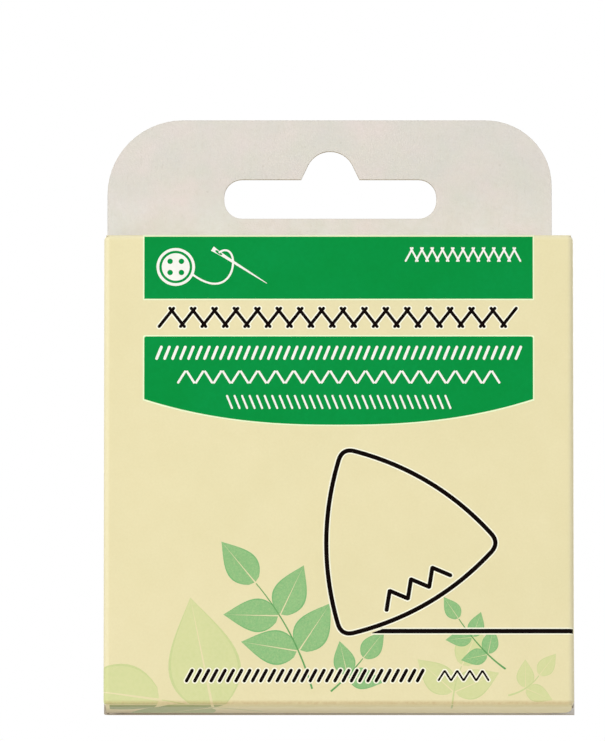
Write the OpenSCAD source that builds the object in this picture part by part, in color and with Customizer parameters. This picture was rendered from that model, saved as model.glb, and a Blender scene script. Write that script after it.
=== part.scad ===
// Tailor's chalk in its folding carton with a hang tab.
// The front faces -Y, +Z is up, and the origin is the middle of the carton's base.

/* [Carton] */
// Width of the carton from side to side
carton_w = 70.5; // [66:0.5:90]
// Height of the carton without its hang tab
carton_h = 71.8; // [70:0.2:90]
// Depth of the carton from front to back
carton_d = 9; // [9:0.5:14]
// Thickness of the folding board
board_t = 0.5; // [0.4:0.05:0.6]
// Outer radius of a folded crease
crease_r = 0.9; // [0.8:0.05:1.2]

/* [Hang tab] */
// Height of the tab above the carton
tab_h = 19; // [17:0.5:28]
// How far the tab's left edge stands in from the carton's left side
tab_left_in = 0.4; // [0:0.1:4]
// How far the tab's right edge stands in from the carton's right side
tab_right_in = 3.1; // [2:0.1:6]
// Radius of the tab's upper left corner
tab_left_r = 11.4; // [4:0.2:14]
// Radius of the tab's upper right corner
tab_right_r = 10; // [4:0.2:14]

/* [Hanging slot] */
// Length of the hanging slot
slot_w = 32; // [26:0.5:36]
// Height of the hanging slot beside its hump
slot_h = 6; // [5:0.25:7]
// Radius of the slot's rounded ends
slot_end_r = 2.7; // [1:0.1:3.5]
// Radius of the hump over the middle of the slot
hump_r = 4.4; // [3:0.1:5]
// Height of the slot's lower edge above the carton
slot_lift = 3.9; // [3:0.1:5]
// Sideways place of the slot's middle from the carton's middle
slot_x = -1.25; // [-3:0.25:1]

/* [Closures] */
// Length of a tuck flap, from the closure's outer face to its tip
tuck_l = 6; // [4.5:0.25:6.5]
// How far each side of a tuck flap runs in towards its tip
tuck_taper = 1.6; // [0.5:0.1:3]
// Radius of a tuck flap's corners
tuck_corner_r = 3.2; // [1:0.1:3.4]
// Length of a dust flap, from the carton's side to its tip
dust_l = 7.5; // [5:0.25:8]
// Radius of a dust flap's corners
dust_corner_r = 1.5; // [0.5:0.1:1.8]
// Length of the slit at each end of a tuck flap's crease
slit_l = 3; // [2:0.25:6]
// Width of that slit
slit_w = 0.4; // [0.3:0.05:0.6]

/* [Glue flap] */
// Reach of the glue flap, from the carton's right side to its free edge
glue_l = 10; // [8:0.5:16]
// Height that each end of the glue flap loses towards its free edge
glue_taper = 4; // [1:0.5:8]

/* [Chalk] */
// Side of the chalk between its corners, before they are rounded
chalk_side = 57; // [50:0.5:58]
// How far each side of the chalk swells beyond a straight line
chalk_bulge = 4.3; // [3:0.1:6]
// Radius of the chalk's three corners
chalk_corner_r = 3; // [2:0.1:5]
// Thickness of the chalk in its middle
chalk_t = 6; // [4:0.25:6]
// Thickness of the chalk's marking edge
chalk_edge_t = 1.2; // [0.8:0.1:2]
// Width of the bevel that thins the chalk to its marking edge
chalk_bevel_w = 6; // [5.5:0.25:9]

/* [Clearances] */
// Gap between a closure and the dust flaps under it
lay_gap = 0.1; // [0.1:0.05:0.3]
// Gap between a tuck flap and the glue flap behind it
tuck_gap = 0.3; // [0.3:0.05:0.5]
// Gap between a flap's edge and the wall beside it
wall_gap = 0.4; // [0.3:0.05:0.6]
// Gap left by the dust flaps for a tuck flap that swings past them
sweep_gap = 0.3; // [0.3:0.05:0.6]
// How far a closure's ends stand in from the carton's sides
closure_in = 0.3; // [0.2:0.05:0.6]
// How far the back panel's free edge stands in from the carton's right side
seam_in = 0.6; // [0.4:0.1:1]
// Gap between the chalk and the closure it stands on
chalk_gap = 0.3; // [0.2:0.05:0.5]
// Gap between the chalk and the front panel
chalk_front_gap = 0.4; // [0.2:0.05:0.5]
// Angle left open on each side of a hinged crease's crest
crease_cut = 1; // [0.5:0.25:2]
// Turn of a tuck flap for each degree that its closure opens
tuck_ratio = 0.75; // [0.7:0.01:0.78]

/* [Hidden] */
$fn = 64;
half_w = carton_w / 2;
half_d = carton_d / 2;
inner_r = crease_r - board_t;
// Reach of a bend into the flat board of its own piece
weld = 0.02;
// Outer faces of the tuck flaps and of the upper dust flaps
tuck_y = half_d - 2 * board_t - tuck_gap;
dust_z = carton_h - board_t - lay_gap;
// Half widths of the closures and of their tuck flaps at the crease
closure_half = half_w - closure_in;
tuck_half = half_w - board_t - wall_gap;
// Swing of a closure at which its tuck flap's tip passes the dust flaps
closure_l = half_d + tuck_y;
pass_angle = asin((tuck_l - board_t - lay_gap) / closure_l);
pass_y = closure_l * cos(pass_angle) + tuck_l * sin((1 - tuck_ratio) * pass_angle) - half_d;
dust_back = pass_y - board_t - sweep_gap;
dust_front = board_t + wall_gap - half_d;
// Hang tab and slot
tab_left = tab_left_in - half_w;
tab_right = half_w - tab_right_in;
tab_top = carton_h + tab_h;
slot_mid = carton_h + slot_lift + slot_h / 2;
// Straight edge left between two round corners, which limits their radius
least_flat = 0.2;
slot_r = min(slot_end_r, (slot_h - least_flat) / 2);
dust_r = min(dust_corner_r, (dust_back - dust_front - least_flat) / 2);
// Chalk: radius of its sides, half of a corner's angle, and places from its centroid
side_r = pow(chalk_side, 2) / (8 * chalk_bulge) + chalk_bulge / 2;
corner_half = 30 + asin(chalk_side / 2 / side_r);
chalk_drop = chalk_side / (2 * sqrt(3)) + chalk_bulge;
side_shift = side_r - chalk_drop;
corner_shift = chalk_side / sqrt(3) - chalk_corner_r / sin(corner_half);
corner_t = chalk_edge_t + (chalk_t - chalk_edge_t) * chalk_corner_r / chalk_bevel_w;
chalk_y = board_t + chalk_front_gap + chalk_t / 2 - half_d;
chalk_z = board_t + chalk_gap + chalk_drop;
cream = "#EBE1B3";
bare_board = "#DED9CF";
chalk_red = "#C9505C";

// Draws a profile of Y and Z, as long as len along X
module along_x(len) {
    rotate([90, 0, 90])
        linear_extrude(len, center = true)
            children();
}

// Draws an outline of X and Z, one board thick, whose outer face is at y_outer
module board_facing_back(y_outer) {
    translate([0, y_outer, 0])
        rotate([90, 0, 0])
            linear_extrude(board_t)
                children();
}

// Places a piece of the upper end at the lower end
module at_bottom() {
    translate([0, 0, carton_h])
        mirror([0, 0, 1])
            children();
}

// Outline of a bent strip of board between two angles
// An end that meets flat board of its own piece runs on into it by the weld
module bend(mid, from, to, flat_from = false, flat_to = false) {
    far = 2 * crease_r;
    translate(mid) {
        intersection() {
            difference() {
                circle(crease_r);
                circle(inner_r);
            }
            polygon([[0, 0], far * [cos(from), sin(from)],
                     far * [cos((from + to) / 2), sin((from + to) / 2)], far * [cos(to), sin(to)]]);
        }
        if (flat_from)
            rotate(from)
                translate([inner_r, -weld])
                    square([board_t, weld]);
        if (flat_to)
            rotate(to)
                translate([inner_r, 0])
                    square([board_t, weld]);
    }
}

// Rectangle between two corners
module box_2d(low, high) {
    translate(low)
        square(high - low);
}

// Quarter disc that rounds a corner of an outline; facing gives the signs of its way out
module round_corner(mid, r, facing) {
    translate(mid)
        intersection() {
            circle(r);
            translate([min(facing[0], 0) * r, min(facing[1], 0) * r])
                square(r);
        }
}

// Upright crease of the carton's wall
module wall_crease(x, y, from, flat_from = false, flat_to = false) {
    translate([0, 0, crease_r])
        linear_extrude(carton_h - 2 * crease_r)
            bend([x, y], from, from + 90, flat_from, flat_to);
}

module front_panel() {
    face = -half_d;
    color(cream) {
        along_x(carton_w - 2 * crease_r) {
            box_2d([face, crease_r], [face + board_t, carton_h - crease_r]);
            bend([face + crease_r, carton_h - crease_r], 135 + crease_cut, 180, flat_to = true);
            bend([face + crease_r, crease_r], 180, 225 - crease_cut, flat_from = true);
        }
        wall_crease(crease_r - half_w, face + crease_r, 180, flat_to = true);
        wall_crease(half_w - crease_r, face + crease_r, 270, flat_from = true);
    }
}

// Outline of the tab, with one round corner on each side
module tab_2d() {
    polygon([
        [tab_left, carton_h], [tab_right, carton_h], [tab_right, tab_top - tab_right_r],
        [tab_right - tab_right_r, tab_top], [tab_left + tab_left_r, tab_top],
        [tab_left, tab_top - tab_left_r]
    ]);
    round_corner([tab_left + tab_left_r, tab_top - tab_left_r], tab_left_r, [-1, 1]);
    round_corner([tab_right - tab_right_r, tab_top - tab_right_r], tab_right_r, [1, 1]);
}

// Outline of the hanging slot with the hump over its middle
module slot_2d() {
    translate([slot_x, slot_mid]) {
        square([slot_w - 2 * slot_r, slot_h], center = true);
        square([slot_w, slot_h - 2 * slot_r], center = true);
        for (side = [-1, 1], level = [-1, 1])
            translate([side * (slot_w / 2 - slot_r), level * (slot_h / 2 - slot_r)])
                circle(slot_r);
        translate([0, slot_h / 2])
            circle(hump_r);
    }
}

module back_panel() {
    color(bare_board) {
        board_facing_back(half_d)
            difference() {
                union() {
                    box_2d([crease_r - half_w, 0], [half_w - seam_in, carton_h]);
                    tab_2d();
                }
                slot_2d();
            }
        wall_crease(crease_r - half_w, half_d - crease_r, 90, flat_from = true);
    }
}

// Side wall between two depths, with the bends that its dust flaps hang on
module side_panel(side, y_back) {
    y_front = crease_r - half_d;
    mirror([side < 0 ? 1 : 0, 0, 0]) {
        translate([half_w - board_t, y_front, carton_h - dust_z + crease_r])
            cube([board_t, y_back - y_front, 2 * dust_z - carton_h - 2 * crease_r]);
        for (low = [0, 1])
            translate([0, 0, low * carton_h])
                mirror([0, 0, low])
                    dust_strip(0, 45 - crease_cut, flat_from = true);
    }
}

// Bend at the top of the right side wall, as deep as a dust flap
module dust_strip(from, to, flat_from = false, flat_to = false) {
    translate([0, dust_back, 0])
        rotate([90, 0, 0])
            linear_extrude(dust_back - dust_front)
                bend([half_w - crease_r, dust_z - crease_r], from, to, flat_from, flat_to);
}

module left_side_panel() {
    color(cream)
        side_panel(-1, half_d - crease_r);
}

module right_side_panel() {
    color(cream)
        side_panel(1, half_d - board_t - crease_r);
}

module glue_flap() {
    low = crease_r;
    high = carton_h - crease_r;
    root_x = half_w - crease_r;
    tip_x = half_w - glue_l;
    color(bare_board) {
        board_facing_back(half_d - board_t)
            polygon([[root_x, low], [root_x, high], [tip_x, high - glue_taper], [tip_x, low + glue_taper]]);
        wall_crease(root_x, half_d - board_t - crease_r, 0, flat_to = true);
    }
}

// Upper closure: it hinges on the front panel's crease and its rear bend meets the tuck flap
module closure() {
    y_front = crease_r - half_d;
    y_rear = tuck_y - crease_r;
    along_x(2 * closure_half) {
        box_2d([y_front, carton_h - board_t], [y_rear, carton_h]);
        bend([y_front, carton_h - crease_r], 90, 135 - crease_cut, flat_from = true);
    }
    along_x(2 * (tuck_half - slit_l))
        bend([y_rear, carton_h - crease_r], 45 + crease_cut, 90, flat_to = true);
}

// Outline of a tuck flap below its crease, with round corners and tapered sides
module tuck_2d() {
    tip = carton_h - tuck_l;
    root = carton_h - crease_r;
    shoulder = root - slit_w;
    tip_half = tuck_half - tuck_taper;
    lift = tip + tuck_corner_r;
    for (side = [0, 1])
        mirror([side, 0]) {
            polygon([
                [0, tip], [tip_half - tuck_corner_r, tip], [tip_half, lift], [tuck_half, shoulder],
                [tuck_half - slit_l, shoulder], [tuck_half - slit_l, root], [0, root]
            ]);
            round_corner([tip_half - tuck_corner_r, lift], tuck_corner_r, [1, -1]);
        }
}

module tuck_flap() {
    board_facing_back(tuck_y)
        tuck_2d();
    along_x(2 * (tuck_half - slit_l))
        bend([tuck_y - crease_r, carton_h - crease_r], 0, 45 - crease_cut, flat_from = true);
}

// Upper dust flap of the right side wall
module dust_flap() {
    tip = half_w - dust_l;
    root = half_w - crease_r;
    translate([0, 0, dust_z - board_t])
        linear_extrude(board_t) {
            polygon([
                [root, dust_front], [root, dust_back], [tip + dust_r, dust_back],
                [tip, dust_back - dust_r], [tip, dust_front + dust_r], [tip + dust_r, dust_front]
            ]);
            round_corner([tip + dust_r, dust_front + dust_r], dust_r, [-1, -1]);
            round_corner([tip + dust_r, dust_back - dust_r], dust_r, [-1, 1]);
        }
    dust_strip(45 + crease_cut, 90, flat_to = true);
}

module top_closure() {
    color(cream)
        closure();
}

module top_tuck_flap() {
    color(cream)
        tuck_flap();
}

module top_left_dust_flap() {
    color(cream)
        mirror([1, 0, 0])
            dust_flap();
}

module top_right_dust_flap() {
    color(cream)
        dust_flap();
}

module bottom_closure() {
    color(cream)
        at_bottom()
            closure();
}

module bottom_tuck_flap() {
    color(cream)
        at_bottom()
            tuck_flap();
}

module bottom_left_dust_flap() {
    color(cream)
        at_bottom()
            mirror([1, 0, 0])
                dust_flap();
}

module bottom_right_dust_flap() {
    color(cream)
        at_bottom()
            dust_flap();
}

// Disc whose rim is one swollen side of the chalk, thinned to the marking edge
module bevelled_disc(r, mid_t, bevel_w) {
    rotate_extrude()
        polygon([
            [0, -mid_t / 2], [r - bevel_w, -mid_t / 2], [r, -chalk_edge_t / 2],
            [r, chalk_edge_t / 2], [r - bevel_w, mid_t / 2], [0, mid_t / 2]
        ]);
}

// The chalk lies in its own plane here, with its centroid at the origin
module chalk_blank() {
    far = chalk_side / 2;
    difference() {
        intersection_for(turn = [90, 210, 330])
            rotate(turn)
                translate([side_shift, 0])
                    bevelled_disc(side_r, chalk_t, chalk_bevel_w);
        for (turn = [90, 210, 330])
            rotate(turn)
                translate([corner_shift, 0, -chalk_t])
                    linear_extrude(2 * chalk_t)
                        polygon([[0, 0], far * [sin(corner_half), -cos(corner_half)], [far, 0],
                                 far * [sin(corner_half), cos(corner_half)]]);
    }
    for (turn = [90, 210, 330])
        rotate(turn)
            translate([corner_shift, 0])
                bevelled_disc(chalk_corner_r, corner_t, chalk_corner_r);
}

module chalk() {
    color(chalk_red)
        translate([0, chalk_y, chalk_z])
            rotate([90, 0, 0])
                chalk_blank();
}

back_panel();
front_panel();
left_side_panel();
right_side_panel();
glue_flap();
top_closure();
top_tuck_flap();
top_left_dust_flap();
top_right_dust_flap();
bottom_closure();
bottom_tuck_flap();
bottom_left_dust_flap();
bottom_right_dust_flap();
chalk();
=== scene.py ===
import math

import bmesh
import bpy
import numpy as np
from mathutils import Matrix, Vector, noise


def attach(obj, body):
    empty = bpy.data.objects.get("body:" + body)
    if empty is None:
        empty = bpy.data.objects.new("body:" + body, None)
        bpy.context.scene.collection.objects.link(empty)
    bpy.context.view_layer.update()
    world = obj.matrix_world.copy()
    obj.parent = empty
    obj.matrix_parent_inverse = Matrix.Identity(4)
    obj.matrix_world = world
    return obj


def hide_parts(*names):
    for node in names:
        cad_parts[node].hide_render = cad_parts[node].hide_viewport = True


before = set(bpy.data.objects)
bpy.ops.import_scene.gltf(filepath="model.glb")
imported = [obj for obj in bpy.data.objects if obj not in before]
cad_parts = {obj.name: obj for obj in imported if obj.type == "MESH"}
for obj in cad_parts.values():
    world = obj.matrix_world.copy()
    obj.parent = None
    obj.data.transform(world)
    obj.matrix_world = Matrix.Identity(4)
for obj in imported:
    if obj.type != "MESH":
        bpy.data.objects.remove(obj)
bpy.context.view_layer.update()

# Sizes in millimetres, as the part's source has them
MM = 0.001
HALF_W = 35.25
HALF_D = 4.5
HEIGHT = 71.8
BOARD = 0.5
CREASE_R = 0.9
TAB_TOP = 90.8
TAB_LEFT, TAB_RIGHT = -34.85, 32.15
TAB_LEFT_R, TAB_RIGHT_R = 11.4, 10.0
SLOT_X, SLOT_MID = -1.25, 78.7
SLOT_W, SLOT_H, SLOT_END_R, HUMP_R = 32.0, 6.0, 2.7, 4.4
CLOSURE_HALF = 34.95
TUCK_HALF = 34.35
TUCK_Y, TUCK_L, TUCK_TAPER, TUCK_CORNER_R = 3.2, 6.0, 1.6, 3.2
SLIT_L, SLIT_W = 3.0, 0.4
DUST_Z = 71.2
DUST_FRONT, DUST_BACK = -3.6, 1.5
DUST_TIP, DUST_CORNER_R = 27.75, 1.5
GLUE_TIP = 25.25
GLUE_TAPER = 4.0
CHALK_SIDE, CHALK_BULGE, CHALK_CORNER_R = 57.0, 4.3, 3.0
CHALK_T, CHALK_EDGE_T, CHALK_BEVEL_W = 6.0, 1.2, 6.0
CHALK_Y, CHALK_GAP = -0.6, 0.3

FLAT_U = HALF_W - CREASE_R
FLAT_LOW, FLAT_HIGH = CREASE_R, HEIGHT - CREASE_R
QUARTER = CREASE_R * math.pi / 2
CREST = CREASE_R * math.pi / 4
BEND_STEPS = 12
FADE_L, FADE_STEPS = 0.8, 4
NO_LIMIT = 1e3
FREE = (-NO_LIMIT, NO_LIMIT)
X, Y, Z = Vector((1, 0, 0)), Vector((0, 1, 0)), Vector((0, 0, 1))


def even_shares(steps):
    """Even shares from 0 to 1."""
    return [k / steps for k in range(steps + 1)]


class Panel:
    """One panel of the folded carton, as a sheet with its own u and v in millimetres.

    It is flat between its limits. Past them the board bends away from its outer face, round a
    crease, and runs on flat after a quarter turn. Its bend across u fades out between the two
    values of v in fade, where the panel goes on as a flat tab.
    """

    def __init__(self, origin, across, up, u_flat=FREE, v_flat=FREE, fade=None):
        self.origin, self.across, self.up = Vector(origin), across, up
        self.outward = across.cross(up)
        self.flat = (u_flat, v_flat)
        self.fade = fade

    def place(self, point):
        """Place and outward direction of a point (u, v, lift off the outer face)."""
        shares = [1.0, 1.0]
        if self.fade:
            low, high = self.fade
            shares[0] = min(max((high - point[1]) / (high - low), 0.0), 1.0)
        middles, angles, past = [], [], 0.0
        for value, (low, high), share in zip(point, self.flat, shares):
            middle = min(max(value, low), high)
            beyond = value - middle
            angle = beyond * share / CREASE_R
            past += max(abs(angle) - math.pi / 2, 0.0) * CREASE_R
            middles.append(middle + beyond * (1 - share))
            angles.append(min(max(angle, -math.pi / 2), math.pi / 2))
        turn_u, turn_v = angles
        facing = self.outward * (math.cos(turn_u) * math.cos(turn_v))
        facing = (facing + self.across * math.sin(turn_u) + self.up * math.sin(turn_v)).normalized()
        foot = self.origin + self.across * middles[0] + self.up * middles[1]
        return foot - self.outward * (CREASE_R + past) + facing * (CREASE_R + point[2]), facing

    def cuts(self):
        """Lines across the sheet where its mesh needs an edge, as (axis, value)."""
        lines = []
        for axis, limits in enumerate(self.flat):
            for limit, way in zip(limits, (-1, 1)):
                if abs(limit) < NO_LIMIT:
                    lines += [(axis, limit + way * QUARTER * t) for t in even_shares(BEND_STEPS)]
        if self.fade:
            low, high = self.fade
            lines += [(1, low + (high - low) * t) for t in even_shares(FADE_STEPS)]
        return lines


FRONT = Panel((0, -HALF_D, 0), X, Z, (-FLAT_U, FLAT_U), (FLAT_LOW, FLAT_HIGH))
BACK = Panel((0, HALF_D, 0), -X, Z, u_flat=(-NO_LIMIT, FLAT_U), fade=(HEIGHT, HEIGHT + FADE_L))
GLUE = Panel((0, HALF_D - BOARD, 0), -X, Z, u_flat=(-FLAT_U, NO_LIMIT))
SIDE_V = (HEIGHT - DUST_Z + CREASE_R, DUST_Z - CREASE_R)
LEFT = Panel((-HALF_W, 0, 0), -Y, Z, v_flat=SIDE_V)
RIGHT = Panel((HALF_W, 0, 0), Y, Z, v_flat=SIDE_V)
TOP = Panel((0, 0, HEIGHT), X, Y, v_flat=(CREASE_R - HALF_D, TUCK_Y - CREASE_R))
BOTTOM = Panel((0, 0, 0), X, -Y, v_flat=(CREASE_R - TUCK_Y, HALF_D - CREASE_R))
TOP_TUCK = Panel((0, TUCK_Y, 0), -X, Z, v_flat=(-NO_LIMIT, FLAT_HIGH))
BOTTOM_TUCK = Panel((0, TUCK_Y, 0), -X, Z, v_flat=(FLAT_LOW, NO_LIMIT))
TOP_DUST = Panel((0, 0, DUST_Z), X, Y, u_flat=(-FLAT_U, FLAT_U))
BOTTOM_DUST = Panel((0, 0, HEIGHT - DUST_Z), X, -Y, u_flat=(-FLAT_U, FLAT_U))


def linear(hex_colour):
    """An sRGB hex colour as linear numbers with alpha."""
    parts = [int(hex_colour[i:i + 2], 16) / 255 for i in (1, 3, 5)]
    return [c / 12.92 if c <= 0.04045 else ((c + 0.055) / 1.055) ** 2.4 for c in parts] + [1.0]


def add_node(tree, kind, inputs=None, **settings):
    """Adds a node and returns its outputs.

    inputs maps a socket's name or number to a value or to the output that feeds it.
    """
    node = tree.nodes.new(kind)
    for key, value in settings.items():
        setattr(node, key, value)
    for key, value in (inputs or {}).items():
        if isinstance(value, bpy.types.NodeSocket):
            tree.links.new(value, node.inputs[key])
        else:
            node.inputs[key].default_value = value
    return node.outputs


def per_metre(size_mm):
    """Texture scale on Object coordinates for a pattern of this size."""
    return 1 / (size_mm * MM)


def empty_tree(owner):
    """The node tree of a material or a world, emptied."""
    owner.use_nodes = True
    owner.node_tree.nodes.clear()
    return owner.node_tree


def new_surface(name):
    """A material with its node tree and its Object coordinates."""
    material = bpy.data.materials.new(name)
    tree = empty_tree(material)
    return material, tree, add_node(tree, "ShaderNodeTexCoord")["Object"]


def grain(tree, place, size_mm, low=0.0, high=1.0, detail=2.0, stretch=None):
    """Noise of a real size, spread between two values."""
    if stretch:
        place = add_node(tree, "ShaderNodeMapping", {"Vector": place, "Scale": stretch})[0]
    spots = add_node(tree, "ShaderNodeTexNoise", {
        "Vector": place, "Scale": per_metre(size_mm), "Detail": detail,
    })
    return add_node(tree, "ShaderNodeMapRange", {
        "Value": spots["Fac"], "From Min": 0.3, "From Max": 0.7, "To Min": low, "To Max": high,
    })["Result"]


def mottle(tree, place, tones):
    """Layers of uneven tones: each is (tone, size in mm, its least and most share)."""
    return [(grain(tree, place, size_mm, low, high), tone) for tone, size_mm, low, high in tones]


# The middle of a crease's mark takes its full share evenly over this width
CREASE_MARK_CORE = 0.05


def crease_wear_and_painted_light(tree, place, grain_place, spot, across, reach_mm, most, tone):
    """Layer of a tone along a straight crease through this spot in mm: partly crease wear, partly painted
    highlight or painted shade, as its callers use it.

    Fibres break up the mark. The crease runs along the axis that is 0 in across.
    """
    offset = place
    for operation, by in (("SUBTRACT", Vector(spot) * MM), ("MULTIPLY", across)):
        offset = add_node(tree, "ShaderNodeVectorMath", {0: offset, 1: by}, operation=operation)[0]
    away = add_node(tree, "ShaderNodeVectorMath", {0: offset}, operation="LENGTH")["Value"]
    share = add_node(tree, "ShaderNodeMapRange", {
        "Value": away, "From Min": CREASE_MARK_CORE * MM, "From Max": reach_mm * MM,
        "To Min": grain(tree, grain_place, 0.5, 0.5 * most, most, detail=3.0), "To Max": 0.0,
    })["Result"]
    return share, tone


def underside_dirt_and_shade(tree, place, tone="#9E8B6E", front=-0.1, rear=0.55):
    """Layers of painted shade on the packet's underside and along its lower crease.

    Its lower crease is painted brown, partly as dirt and partly as painted shade, and its underside is
    painted darker towards this tone as painted shade, more at the left than at the right, and by these shares
    at the front and the rear.
    """
    # Painted shade, partly dirt: a brown mark along the lower crease
    crease = crease_wear_and_painted_light(tree, place, place, (0, 0.11 - HALF_D, 0.47), (0, 1, 1), 0.5, 0.55, "#C2A06F")
    spot = add_node(tree, "ShaderNodeSeparateXYZ", {0: place})
    # Painted shade: the underside is painted darker, more at the left, and by the front and rear shares
    underside_shade = 1.0
    for axis, start, end, low, high in (
        ("X", -HALF_W, HALF_W, 1.6, 0.2), ("Y", -HALF_D, TUCK_Y, front, rear),
        ("Z", 0.1 * BOARD, BOARD, 1.0, 0.0),
    ):
        share = add_node(tree, "ShaderNodeMapRange", {
            "Value": spot[axis], "From Min": start * MM, "From Max": end * MM, "To Min": low, "To Max": high,
        })["Result"]
        underside_shade = add_node(tree, "ShaderNodeMath", {0: share, 1: underside_shade}, operation="MULTIPLY")[0]
    return [crease, (underside_shade, tone)]


def finish_surface(tree, place, colour, layers, rough, shine, skin, sheen=0.0):
    """Ends a material: its colour under layers of (share, tone), roughness, highlights and fine relief.

    rough is its pattern's size in mm with the least and the most roughness, and skin is the relief's
    grain and height in mm with its strength.
    """
    colour = linear(colour)
    for share, tone in layers:
        # A Mix node has its share in socket 0, and its two colours in 6 and 7
        colour = add_node(tree, "ShaderNodeMix", {0: share, 6: colour, 7: linear(tone)}, data_type="RGBA")[2]
    size_mm, height_mm, strength = skin
    bump = add_node(tree, "ShaderNodeBump", {
        "Strength": strength, "Distance": height_mm * MM, "Height": grain(tree, place, size_mm, detail=4.0),
    })
    shader = add_node(tree, "ShaderNodeBsdfPrincipled", {
        "Base Color": colour, "Roughness": grain(tree, place, *rough), "Specular IOR Level": shine,
        "Sheen Weight": sheen, "Normal": bump["Normal"],
    })
    add_node(tree, "ShaderNodeOutputMaterial", {"Surface": shader["BSDF"]})


def printed_board():
    """Clay-coated folding boxboard, offset printed cream under matt varnish: smooth, faintly clouded by the
    ink, and paler along the folds, partly as crease wear and partly as painted highlight."""
    material, tree, place = new_surface("coated_boxboard_cream_print")
    layers = mottle(tree, place, [
        ("#EDE3B8", 14.0, 0.0, 0.6), ("#E4D9A9", 3.0, 0.0, 0.3), ("#DDD2A1", 0.35, 0.0, 0.2),
    ])
    crest = CREASE_R * (1 - math.sqrt(0.5))
    side, depth = HALF_W - crest, HALF_D - crest
    both_sides = add_node(tree, "ShaderNodeVectorMath", {0: place}, operation="ABSOLUTE")[0]
    # Painted highlight, partly crease wear: the side creases and the upper front crease are painted paler
    for folded, spot, across in (
        (both_sides, (side, depth, 0), (1, 1, 0)), (place, (0, -depth, HEIGHT - crest), (0, 1, 1)),
    ):
        layers.append(crease_wear_and_painted_light(tree, folded, place, spot, across, 0.7, 0.3, "#F8F3DD"))
    # Painted shade on the underside, and a brown mark along the lower crease
    layers += underside_dirt_and_shade(tree, place)
    finish_surface(tree, place, "#E7DEB1", layers, (1.5, 0.5, 0.6), 0.35, (0.3, 0.01, 0.5))
    return material


def bare_board():
    """Uncoated reverse of recycled boxboard: warm grey, clouded pink and green by mixed pulp,
    with short fibres and dark specks."""
    material, tree, place = new_surface("uncoated_boxboard_reverse")
    # Painted light: the board is painted paler below the tab's foot, fading out over this height up the tab
    painted_light_h = 9
    height = add_node(tree, "ShaderNodeSeparateXYZ", {0: place})["Z"]
    painted_light = add_node(tree, "ShaderNodeMapRange", {
        "Value": height, "From Min": HEIGHT * MM, "From Max": (HEIGHT + painted_light_h) * MM,
        "To Min": 0.75, "To Max": 0.0,
    })["Result"]
    layers = [(painted_light, "#F4F3F3")] + mottle(tree, place, [
        ("#E9DBD8", 6.0, 0.0, 0.7), ("#D8DACD", 4.0, 0.0, 0.5), ("#D3CCC1", 0.8, 0.0, 0.2),
    ])
    # Real fibres are about 0.03 mm wide; they are drawn at 0.4 mm, along the board's upright grain
    fibres = grain(tree, place, 1.2, -0.25, 0.12, detail=3.0, stretch=(3, 3, 1))
    away = add_node(tree, "ShaderNodeTexVoronoi", {"Vector": place, "Scale": per_metre(3.4)})
    specks = add_node(tree, "ShaderNodeMapRange", {
        "Value": away["Distance"], "From Min": 0.03, "From Max": 0.07, "To Min": 0.14, "To Max": 0.0,
    })["Result"]
    # Painted shade on the underside, and a brown mark along the lower crease
    layers += [(fibres, "#BFB6A6"), (specks, "#8F8574")] + underside_dirt_and_shade(tree, place)
    finish_surface(tree, place, "#DAD7D2", layers, (2.0, 0.8, 0.95), 0.25, (0.25, 0.03, 0.7))
    return material


def cut_board():
    """Die-cut edge of the board: its brownish grey core, torn into short fibres."""
    material, tree, place = new_surface("die_cut_board_core")
    layers = mottle(tree, place, [("#978B78", 0.5, 0.0, 0.6), ("#D2C8B6", 0.2, 0.0, 0.5)])
    finish_surface(tree, place, "#B9AE9B", layers, (0.4, 0.85, 1.0), 0.2, (0.12, 0.04, 0.8))
    return material


def ink(name, colour, tones, bare_share=0.0, bare="#EEE3B8", shine=0.1, underside_shade=()):
    """Offset ink on coated board: a thin even film, mottled, with pinholes of bare board."""
    material, tree, place = new_surface(name)
    layers = mottle(tree, place, tones)
    if bare_share:
        # Real pinholes are about 0.03 mm; they are drawn at 0.2 mm so that they show
        layers.append((grain(tree, place, 0.2, -2.0, bare_share, detail=1.0), bare))
    # Painted shade where the ink runs on over the underside
    if underside_shade:
        layers += underside_dirt_and_shade(tree, place, *underside_shade)
    finish_surface(tree, place, colour, layers, (0.8, 0.42, 0.52), shine, (0.3, 0.006, 0.4))
    return material


def pressed_chalk():
    """Tailor's chalk, pressed from coloured clay and talc: matt, powdery and even, with pale powder in its
    pores and coarser grit."""
    material, tree, place = new_surface("pressed_tailors_chalk")
    layers = mottle(tree, place, [
        ("#D2626D", 6.0, 0.0, 0.6), ("#B8404F", 0.9, 0.0, 0.4), ("#E08E93", 0.25, 0.0, 0.45),
    ])
    finish_surface(tree, place, "#C8505E", layers, (1.0, 0.88, 1.0), 0.15, (0.2, 0.05, 0.8), sheen=0.15)
    return material


CREAM = printed_board()
BARE = bare_board()
CORE = cut_board()
GREEN = ink("green_offset_ink", "#00903E", [("#04964A", 9.0, 0.0, 0.5), ("#008637", 0.6, 0.0, 0.3)],
            0.06, "#2FA266", 0.05)
BLACK = ink("black_offset_ink", "#0B0403", [("#160E0C", 1.2, 0.0, 0.4)], 0.03, "#5A5048", 0.02)
WHITE = ink("reversed_out_white", "#F3F3EC", [("#FBFBF5", 2.0, 0.0, 0.6)])
KEYLINE = ink("pale_trap_line", "#F8F6DE", [("#FAF9E8", 2.0, 0.0, 0.6)])
GREEN_KEYLINE = ink("pale_green_trap_line", "#F0FCD6", [("#EAF9CC", 2.0, 0.0, 0.6)])
LEAF = ink("leaf_green_tint", "#97C787", [
    ("#88BB7C", 3.5, 0.0, 0.6), ("#B0CC90", 0.5, 0.0, 0.6), ("#74B074", 0.25, 0.0, 0.6)], 0.12)
LEAF_EDGE = ink("leaf_green_edge", "#7FBB7A", [("#6FB070", 0.5, 0.0, 0.7)], 0.1)
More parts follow.
